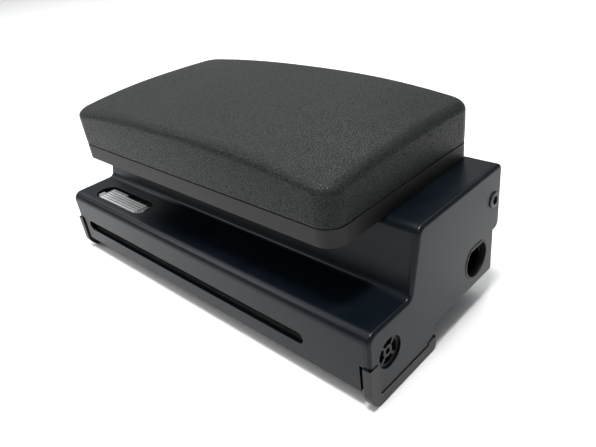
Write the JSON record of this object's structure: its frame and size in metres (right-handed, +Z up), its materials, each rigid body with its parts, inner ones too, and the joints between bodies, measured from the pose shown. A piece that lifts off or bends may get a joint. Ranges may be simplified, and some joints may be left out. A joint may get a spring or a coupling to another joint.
{
  "type": "printer armrest console",
  "caption": "Console armrest with a padded top on a hinged metal hood, over a base that holds a strip printer and its paper roll.",
  "frame": {"origin": "centre of the four console bolt holes, on the underside of the base tray", "axes": "+Z up off the console, +X along the length to the right-hand end plate with the cable bushing, +Y to the rear, away from the paper slot"},
  "size_m": [0.2822, 0.1294, 0.1259],
  "materials": {
    "hood_paint": "satin",
    "base_paint": "satin",
    "pad_skin": "matte",
    "pad_board": "satin",
    "trim_rubber": "matte",
    "black_nylon": "satin",
    "sleeve_nylon": "satin",
    "black_screw": "satin",
    "zinc_steel": "satin",
    "case_plastic": "fine texture",
    "key_clear": "clear",
    "board_green": "gloss",
    "gear_plastic": "satin",
    "head_ceramic": "satin",
    "sink_aluminium": "satin",
    "socket_black": "satin",
    "paper_white": "matte",
    "core_board": "matte"
  },
  "bodies": {
    "base": {"base_tray": "base_paint", "cheek_left": "base_paint", "cheek_right": "base_paint", "roll_bracket": "base_paint", "catch_bracket": "base_paint", "stop_bumpers": "trim_rubber", "rest_bumpers": "trim_rubber", "roll_hub_left": "black_nylon", "bearing_blocks": "black_nylon", "pivot_screw_left": "black_screw", "pivot_screw_right": "black_screw", "pivot_nuts": "zinc_steel", "bracket_screws": "zinc_steel", "case_screws": "zinc_steel", "catch_magnet": "zinc_steel", "hub_spring": "zinc_steel", "key_springs": "zinc_steel", "feed_motor": "zinc_steel", "printer_case_lower": "case_plastic", "printer_case_upper": "case_plastic", "circuit_board": "board_green", "key_board": "board_green", "print_head": "head_ceramic", "heat_sink": "sink_aluminium", "data_socket": "socket_black", "power_socket": "socket_black"},
    "hood": {"hood_shell": "hood_paint", "end_plate_left": "hood_paint", "end_plate_right": "hood_paint", "edge_trim_left": "trim_rubber", "edge_trim_right": "trim_rubber", "pivot_sleeve_left": "sleeve_nylon", "pivot_sleeve_right": "sleeve_nylon", "vent_plug": "black_nylon", "cable_bushing": "black_nylon", "pad_base": "pad_board", "arm_pad": "pad_skin", "pad_screws": "zinc_steel", "strike_plate": "zinc_steel"},
    "key": {"feed_key": "key_clear"},
    "platen": {"platen_roller": "trim_rubber", "platen_shaft": "zinc_steel", "platen_gear": "gear_plastic"},
    "pinion": {"drive_pinion": "gear_plastic"},
    "roll": {"roll_core": "core_board", "paper_roll": "paper_white"},
    "sliding_hub": {"roll_hub_right": "black_nylon", "hub_clip": "zinc_steel"}
  },
  "joints": [
    {"name": "hood_hinge", "type": "hinge", "parent": "base", "child": "hood", "pos_m": [0, 0.0298, 0.0493], "axis": [-1, 0, 0], "range_deg": [0, 78]},
    {"name": "feed_key_press", "type": "slide", "parent": "base", "child": "key", "axis": [0, 0, -1], "range_m": [0, 0.0012], "stiffness_N_per_m": 400, "springref_m": -0.001, "deforming": ["key_springs"]},
    {"name": "platen_spin", "type": "hinge", "parent": "base", "child": "platen", "pos_m": [0, -0.066, 0.0115], "axis": [1, 0, 0], "continuous": true},
    {"name": "pinion_spin", "type": "hinge", "parent": "base", "child": "pinion", "pos_m": [0, -0.0553, 0.0115], "axis": [1, 0, 0], "continuous": true},
    {"name": "roll_spin", "type": "hinge", "parent": "base", "child": "roll", "pos_m": [0, -0.014, 0.029], "axis": [1, 0, 0], "continuous": true},
    {"name": "hub_slide", "type": "slide", "parent": "base", "child": "sliding_hub", "axis": [1, 0, 0], "range_m": [0, 0.006], "stiffness_N_per_m": 600, "springref_m": -0.002, "deforming": ["hub_spring"]}
  ],
  "couplings": [
    {"joint": "platen_spin", "follows": "roll_spin", "ratio": -3.2308},
    {"joint": "pinion_spin", "follows": "roll_spin", "ratio": 7.1077}
  ]
}
